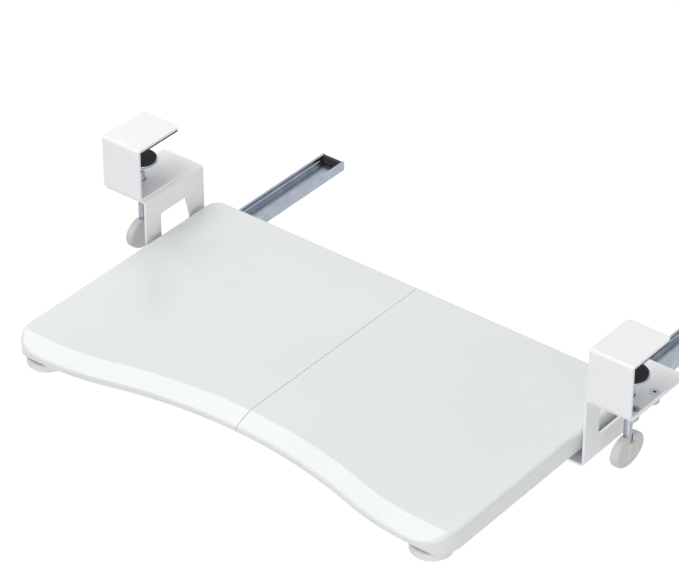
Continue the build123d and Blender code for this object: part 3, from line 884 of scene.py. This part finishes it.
@dataclass
class WingKnob:
    """Oval wing knob moulded round the foot of the screw."""

    side: Side
    wing_w: float = 43.5 * MM
    wing_h: float = 32.5 * MM
    wing_t: float = 9 * MM
    wing_rise: float = 6.7 * MM
    edge_r: float = 2.2 * MM
    hub_r: float = 7 * MM
    hub_h: float = 18 * MM
    hub_edge: float = 0.8 * MM
    notch_r: float = 4.8 * MM
    voxel: float = 0.4 * MM
    steps: int = 128

    def wing(self, centre: Sequence[float]) -> Shell:
        """Oval plate with rounded edges.

        Args:
            centre: X, Y and Z of its middle.

        Returns:
            Its shell.
        """
        round_steps = 6
        turns = [FULL_TURN / 4 * i / round_steps for i in range(round_steps + 1)]
        sections = [(self.edge_r * (1 - math.cos(turn)), self.wing_t / 2 - self.edge_r * (1 - math.sin(turn)))
                    for turn in turns]
        sections = [(inset, x) for inset, x in reversed(sections)]
        sections += [(inset, -x) for inset, x in reversed(sections)]
        rings = []
        for inset, x in sections:
            ring = []
            for i in range(self.steps):
                angle = FULL_TURN * i / self.steps
                ring.append((centre[0] + x,
                             centre[1] + (self.wing_w / 2 - inset) * math.cos(angle),
                             centre[2] + (self.wing_h / 2 - inset) * math.sin(angle)))
            rings.append(ring)
        shell = Shell()
        shell.stack(rings)
        return shell

    def build(self, rack: FinishRack) -> bpy.types.Object:
        """Makes the knob as one moulding and puts it in place of its node.

        Args:
            rack: the finishes.

        Returns:
            The piece.
        """
        node = self.side.node("clamp_knob")
        low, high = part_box(node)
        x, y = (low.x + high.x) / 2, (low.y + high.y) / 2
        wing_z = low.z + self.wing_h / 2
        hub_top = low.z + self.wing_h - self.wing_rise
        shell = self.wing((x, y, wing_z))
        knob = shell.piece(self.side.node("oval_knob"))
        notch = Shell()
        notch.stack([round_about((x, y), hub_top, self.notch_r, 48),
                     round_about((x, y), high.z + self.edge_r, self.notch_r, 48)])
        cutter = notch.piece(self.side.node("notch_cutter"))
        cut = knob.modifiers.new("notch", "BOOLEAN")
        cut.object = cutter
        cut.operation = "DIFFERENCE"
        hub = Shell()
        profile = arc((self.hub_r - self.edge_r, hub_top - self.hub_h),
                      (self.hub_r, hub_top - self.hub_h + self.edge_r), 6)
        profile += [(self.hub_r, hub_top - self.hub_edge), (self.hub_r - self.hub_edge, hub_top)]
        hub.stack([round_about((x, y), z, radius, 64) for radius, z in profile])
        boss = hub.piece(self.side.node("hub_form"))
        join = knob.modifiers.new("hub", "BOOLEAN")
        join.object = boss
        join.operation = "UNION"
        mould = knob.modifiers.new("moulding", "REMESH")
        mould.mode = "VOXEL"
        mould.voxel_size = self.voxel
        mould.use_smooth_shade = True
        flow = knob.modifiers.new("soft_inner_corners", "SMOOTH")
        flow.factor = 0.5
        flow.iterations = 4
        settle(knob)
        for form in (cutter, boss):
            bpy.data.objects.remove(form)
        finish_piece(knob, self.side.node("screw"), [node], "knob_plastic", rack)
        return knob


def settle(piece: bpy.types.Object) -> None:
    """Applies a piece's modifiers to its mesh, shaded smooth."""
    graph = bpy.context.evaluated_depsgraph_get()
    mesh = bpy.data.meshes.new_from_object(piece.evaluated_get(graph))
    piece.modifiers.clear()
    old = piece.data
    piece.data = mesh
    bpy.data.meshes.remove(old)
    mesh.name = piece.name
    for polygon in mesh.polygons:
        polygon.use_smooth = True


@dataclass
class PressureFoot:
    """Zinc disc with a socket boss under it, and the rubber pad on top."""

    side: Side
    disc_r: float = 17 * MM
    edge_r: float = 0.8 * MM
    boss_r: float = 6.5 * MM
    boss_h: float = 5.2 * MM
    mouth_r: float = 2.5 * MM
    crimp: float = 0.6 * MM
    pad_edge: float = 0.3 * MM
    steps: int = 72

    def build(self, rack: FinishRack) -> bpy.types.Object:
        """Turns the disc and puts it in place of its node.

        Args:
            rack: the finishes.

        Returns:
            The piece.
        """
        node = self.side.node("pressure_disc")
        low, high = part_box(node)
        centre = ((low.x + high.x) / 2, (low.y + high.y) / 2)
        disc_foot = low.z + self.boss_h
        profile = [(self.mouth_r, low.z + self.crimp), (self.mouth_r, low.z)]
        profile += arc((self.boss_r - self.crimp, low.z), (self.boss_r, low.z + self.crimp), 4)
        profile += arc((self.boss_r, disc_foot - self.crimp), (self.boss_r + self.crimp, disc_foot), 4, False)
        profile += arc((self.disc_r - self.edge_r, disc_foot), (self.disc_r, disc_foot + self.edge_r), 5)
        profile += arc((self.disc_r, high.z - self.edge_r), (self.disc_r - self.edge_r, high.z), 5, False)
        shell = Shell()
        shell.stack([round_about(centre, z, radius, self.steps) for radius, z in profile])
        piece = shell.piece(self.side.node("press_disc"))
        finish_piece(piece, self.side.node("pressure_foot"), [node], "zinc_plate", rack)
        pad = rack.dress_node(self.side.node("disc_pad"), "dark_rubber")
        soften_node(pad, self.pad_edge)
        return piece


@dataclass
class DeskClamp:
    """C-shaped clamp of sheet steel, its jaw pad, and the countersunk bolts and cap nuts under it."""

    side: Side
    edge: float = 0.35 * MM
    bolt_head_r: float = 5.2 * MM
    bolt_r: float = 3 * MM
    bolt_rim: float = 0.3 * MM
    bolt_tip: float = 0.5 * MM
    bolt_edge: float = 0.15 * MM
    socket_flats: float = 3.5 * MM
    socket_h: float = 1.8 * MM
    nut_flats: float = 10 * MM
    nut_hex_h: float = 5 * MM
    nut_chamfer: float = 0.7 * MM
    nut_seat_h: float = 0.3 * MM
    nut_seat_inset: float = 0.4 * MM
    nut_edge: float = 0.12 * MM
    dome_inset: float = 0.5 * MM
    dome_step: float = 0.1 * MM
    pad_edge: float = 0.2 * MM
    steps: int = 72

    def centres(self, node: str, spread: float) -> list[tuple[float, float]]:
        """Axes of the two fasteners in a node.

        Args:
            node: the node that holds both.
            spread: reach of a fastener along Y from its axis.

        Returns:
            X and Y of each, front one first.
        """
        low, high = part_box(node)
        x = (low.x + high.x) / 2
        return [(x, low.y + spread), (x, high.y - spread)]

    def bolts(self, rack: FinishRack) -> None:
        """Makes the countersunk bolts.

        Args:
            rack: the finishes.
        """
        node = self.side.node("clamp_bolts")
        low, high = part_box(node)
        head_h = self.bolt_head_r - self.bolt_r
        socket = hexagon(self.socket_flats)
        socket_r = self.socket_flats / 2 / math.cos(FULL_TURN / 12)
        shell = Shell()
        for centre in self.centres(node, self.bolt_head_r):
            profile = [(self.bolt_r - self.bolt_tip, low.z), (self.bolt_r, low.z + self.bolt_tip)]
            profile += [(self.bolt_r, high.z - head_h)]
            profile += [(self.bolt_head_r - self.bolt_rim, high.z - self.bolt_rim)]
            profile += [(self.bolt_head_r - self.bolt_rim, high.z)]
            rings = [round_about(centre, z, radius, self.steps) for radius, z in profile]
            rings.append(round_about(centre, high.z, socket_r, self.steps, socket))
            rings.append(round_about(centre, high.z - self.socket_h, socket_r, self.steps, socket))
            shell.stack(rings)
        piece = shell.piece(self.side.node("countersunk_bolts"))
        round_off(piece, self.bolt_edge)
        finish_piece(piece, "desk_frame", [node], "zinc_plate", rack)

    def cap_nuts(self, rack: FinishRack) -> None:
        """Makes the domed cap nuts.

        Args:
            rack: the finishes.
        """
        node = self.side.node("cap_nuts")
        low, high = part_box(node)
        flats = hexagon(self.nut_flats)
        corner = self.nut_flats / 2 / math.cos(FULL_TURN / 12)
        hex_foot = high.z - self.nut_hex_h
        nut_reach = self.nut_flats / 2
        dome_r = nut_reach - self.dome_inset
        shell = Shell()
        for centre in self.centres(node, nut_reach):
            rings = []
            dome_steps = 8
            for i in range(1, dome_steps + 1):
                turn = FULL_TURN / 4 * i / dome_steps
                height = blend_between(hex_foot, low.z, math.cos(turn))
                rings.append(round_about(centre, height, dome_r * math.sin(turn), self.steps))
            rings.append(round_about(centre, hex_foot, nut_reach - self.dome_step, self.steps, flats))
            for share in (0.35, 0.7, 1.0):
                limit = blend_between(nut_reach, corner, share)
                height = hex_foot + self.nut_chamfer * share
                rings.append(round_about(centre, height, limit, self.steps, flats))
            rings.append(round_about(centre, high.z - self.nut_seat_h, corner, self.steps, flats))
            rings.append(round_about(centre, high.z, corner - self.nut_seat_inset, self.steps, flats))
            shell.stack(rings)
        piece = shell.piece(self.side.node("domed_nuts"))
        round_off(piece, self.nut_edge)
        finish_piece(piece, "desk_frame", [node], "zinc_plate", rack)

    def build(self, rack: FinishRack) -> None:
        """Dresses the clamp and its pad, and makes the fasteners.

        Args:
            rack: the finishes.
        """
        clamp = rack.dress_node(self.side.node("c_clamp"), "clamp_coat")
        soften_node(clamp, self.edge)
        pad = rack.dress_node(self.side.node("jaw_pad"), "dark_rubber")
        soften_node(pad, self.pad_edge)
        self.bolts(rack)
        self.cap_nuts(rack)
        log.info("%s clamp dressed", self.side.word)


@dataclass
class Hanger:
    """Z-shaped hanger with its welded screw nut."""

    side: Side
    edge: float = 0.35 * MM
    nut_edge: float = 0.4 * MM

    def build(self, rack: FinishRack) -> None:
        """Dresses the hanger and its nut.

        Args:
            rack: the finishes.
        """
        hanger = rack.dress_node(self.side.node("hanger"), "clamp_coat")
        soften_node(hanger, self.edge)
        nut = rack.dress_node(self.side.node("screw_nut"), "zinc_plate")
        soften_node(nut, self.nut_edge)
        log.info("%s hanger dressed", self.side.word)


@dataclass
class BallSlide:
    """Ball slide between hanger and board, with its bolts, nuts, screws and bumper."""

    side: Side
    sheet_edge: float = 0.2 * MM
    small_edge: float = 0.12 * MM

    def build(self, rack: FinishRack) -> None:
        """Dresses every piece of the slide.

        Args:
            rack: the finishes.
        """
        dresses = (
            ("outer_rail", "zinc_plate", self.sheet_edge),
            ("inner_rail", "zinc_plate", self.sheet_edge),
            ("ball_cage", "zinc_plate", self.small_edge),
            ("slide_balls", "polished_steel", 0.0),
            ("rail_bumper", "dark_rubber", self.sheet_edge),
            ("rail_bolts", "zinc_plate", self.small_edge),
            ("rail_nuts", "zinc_plate", self.small_edge),
            ("tray_rail_screws", "zinc_plate", self.small_edge),
        )
        for piece, slot, edge in dresses:
            node = rack.dress_node(self.side.node(piece), slot)
            if edge:
                soften_node(node, edge)
            log.info("%s dressed in %s", node.name, slot)


@dataclass
class SeamJoint:
    """Bars, screws and dowels that hold the two halves together."""

    bar_edge: float = 0.3 * MM
    screw_edge: float = 0.12 * MM

    def build(self, rack: FinishRack) -> None:
        """Dresses the pieces of the seam.

        Args:
            rack: the finishes.
        """
        for bar in ("front_joining_bar", "rear_joining_bar"):
            soften_node(rack.dress_node(bar, "zinc_plate"), self.bar_edge)
        soften_node(rack.dress_node("joining_screws", "zinc_plate"), self.screw_edge)
        soften_node(rack.dress_node("seam_dowels", "beech_wood"), self.bar_edge)
        for side in Side:
            soften_node(rack.dress_node(side.node("foot_screw"), "zinc_plate"), self.screw_edge)
        log.info("seam dressed")


@dataclass
class Studio:
    """Camera, floor, world and lamps."""

    camera_at: Vector = Vector((1.5727, -2.0118, 1.7000))
    looks_along: Vector = Vector((-0.5131, 0.6486, -0.5622))
    lens: float = 179.2
    sensor: float = 36.0
    floor_z: float = -0.74
    floor_r: float = 9.0
    world_light: float = 0.5
    floor_glow: float = 0.72

    def camera(self) -> None:
        """Sets the camera at the photo's place and angle."""
        data = bpy.data.cameras.new("photo_camera")
        data.lens = self.lens
        data.sensor_width = self.sensor
        data.clip_end = 60.0
        holder = bpy.data.objects.new("photo_camera", data)
        holder.location = self.camera_at
        holder.rotation_euler = self.looks_along.to_track_quat("-Z", "Y").to_euler()
        bpy.context.scene.collection.objects.link(holder)
        bpy.context.scene.camera = holder

    def seen_rays(self, tree: bpy.types.NodeTree) -> bpy.types.NodeSocket:
        """Factor that is 1 for rays that see the background.

        Args:
            tree: node tree that it is added to.

        Returns:
            The socket, which is 1 for camera, glossy and transmission rays.
        """
        path = tree.nodes.new("ShaderNodeLightPath")
        total = path.outputs["Is Camera Ray"]
        for name in ("Is Glossy Ray", "Is Transmission Ray"):
            either = tree.nodes.new("ShaderNodeMath")
            either.operation = "MAXIMUM"
            tree.links.new(total, either.inputs[0])
            tree.links.new(path.outputs[name], either.inputs[1])
            total = either.outputs[0]
        return total

    def world(self) -> None:
        """White world for what is seen, and a plain level of light for the object."""
        world = bpy.data.worlds.new("pale_room")
        bpy.context.scene.world = world
        world.use_nodes = True
        tree = world.node_tree
        tree.nodes.clear()
        seen = tree.nodes.new("ShaderNodeBackground")
        seen.inputs["Color"].default_value = (1.0, 1.0, 1.0, 1.0)
        lit = tree.nodes.new("ShaderNodeBackground")
        lit.inputs["Color"].default_value = (1.0, 1.0, 1.0, 1.0)
        lit.inputs["Strength"].default_value = self.world_light
        choice = tree.nodes.new("ShaderNodeMixShader")
        tree.links.new(self.seen_rays(tree), choice.inputs[0])
        tree.links.new(lit.outputs[0], choice.inputs[1])
        tree.links.new(seen.outputs[0], choice.inputs[2])
        out = tree.nodes.new("ShaderNodeOutputWorld")
        tree.links.new(choice.outputs[0], out.inputs["Surface"])

    def floor(self) -> None:
        """Round pale floor well below the tray, which still takes its shadow."""
        shell = Shell()
        shell.cap(shell.ring(round_about((0.0, 0.0), self.floor_z, self.floor_r, 96)))
        piece = shell.piece("studio_floor")
        material = bpy.data.materials.new("pale_floor")
        material.use_nodes = True
        tree = material.node_tree
        tree.nodes.clear()
        matt = tree.nodes.new("ShaderNodeBsdfDiffuse")
        matt.inputs["Color"].default_value = (0.8, 0.8, 0.8, 1.0)
        faint = tree.nodes.new("ShaderNodeBsdfDiffuse")
        faint.inputs["Color"].default_value = (0.4, 0.4, 0.4, 1.0)
        glow = tree.nodes.new("ShaderNodeEmission")
        glow.inputs["Strength"].default_value = self.floor_glow
        both = tree.nodes.new("ShaderNodeAddShader")
        tree.links.new(faint.outputs[0], both.inputs[0])
        tree.links.new(glow.outputs[0], both.inputs[1])
        choice = tree.nodes.new("ShaderNodeMixShader")
        tree.links.new(self.seen_rays(tree), choice.inputs[0])
        tree.links.new(matt.outputs[0], choice.inputs[1])
        tree.links.new(both.outputs[0], choice.inputs[2])
        out = tree.nodes.new("ShaderNodeOutputMaterial")
        tree.links.new(choice.outputs[0], out.inputs["Surface"])
        piece.data.materials.append(material)

    def lamp(self, name: str, place: Sequence[float], target: Sequence[float], size: float,
             level: float) -> None:
        """Adds a soft square lamp.

        Args:
            name: the lamp's name.
            place: where it stands.
            target: where it points.
            size: length of its sides.
            level: light that it throws on a white face turned to it, as a share of white.
        """
        data = bpy.data.lights.new(name, "AREA")
        data.shape = "SQUARE"
        data.size = size
        aim = Vector(target) - Vector(place)
        data.energy = level * math.pi ** 2 * aim.length_squared
        holder = bpy.data.objects.new(name, data)
        holder.location = place
        holder.rotation_euler = aim.to_track_quat("-Z", "Y").to_euler()
        bpy.context.scene.collection.objects.link(holder)

    def build(self) -> None:
        """Sets up the whole studio."""
        self.camera()
        self.world()
        self.floor()
        middle = (0.0, -0.05, -0.08)
        self.lamp("overhead_softbox", (-0.7, -1.3, 2.5), middle, 1.6, 0.33)
        self.lamp("high_softbox", (-1.5, 0.4, 2.4), middle, 1.6, 0.2)
        self.lamp("front_fill", (1.9, -1.9, 0.4), middle, 1.4, 0.22)
        bpy.context.scene.view_settings.view_transform = "Standard"


def main() -> None:
    """Builds the studio and every piece."""
    logging.basicConfig(level=logging.INFO, format="%(message)s")
    Studio().build()
    rack = FinishRack()
    for side in Side:
        DeskClamp(side).build(rack)
        Hanger(side).build(rack)
        ClampScrew(side).build(rack)
        WingKnob(side).build(rack)
        PressureFoot(side).build(rack)
        BallSlide(side).build(rack)
        TrayBoard(side).build(rack)
        CornerFoot(side).build(rack)
    SeamJoint().build(rack)


if __name__ == "__main__":
    main()
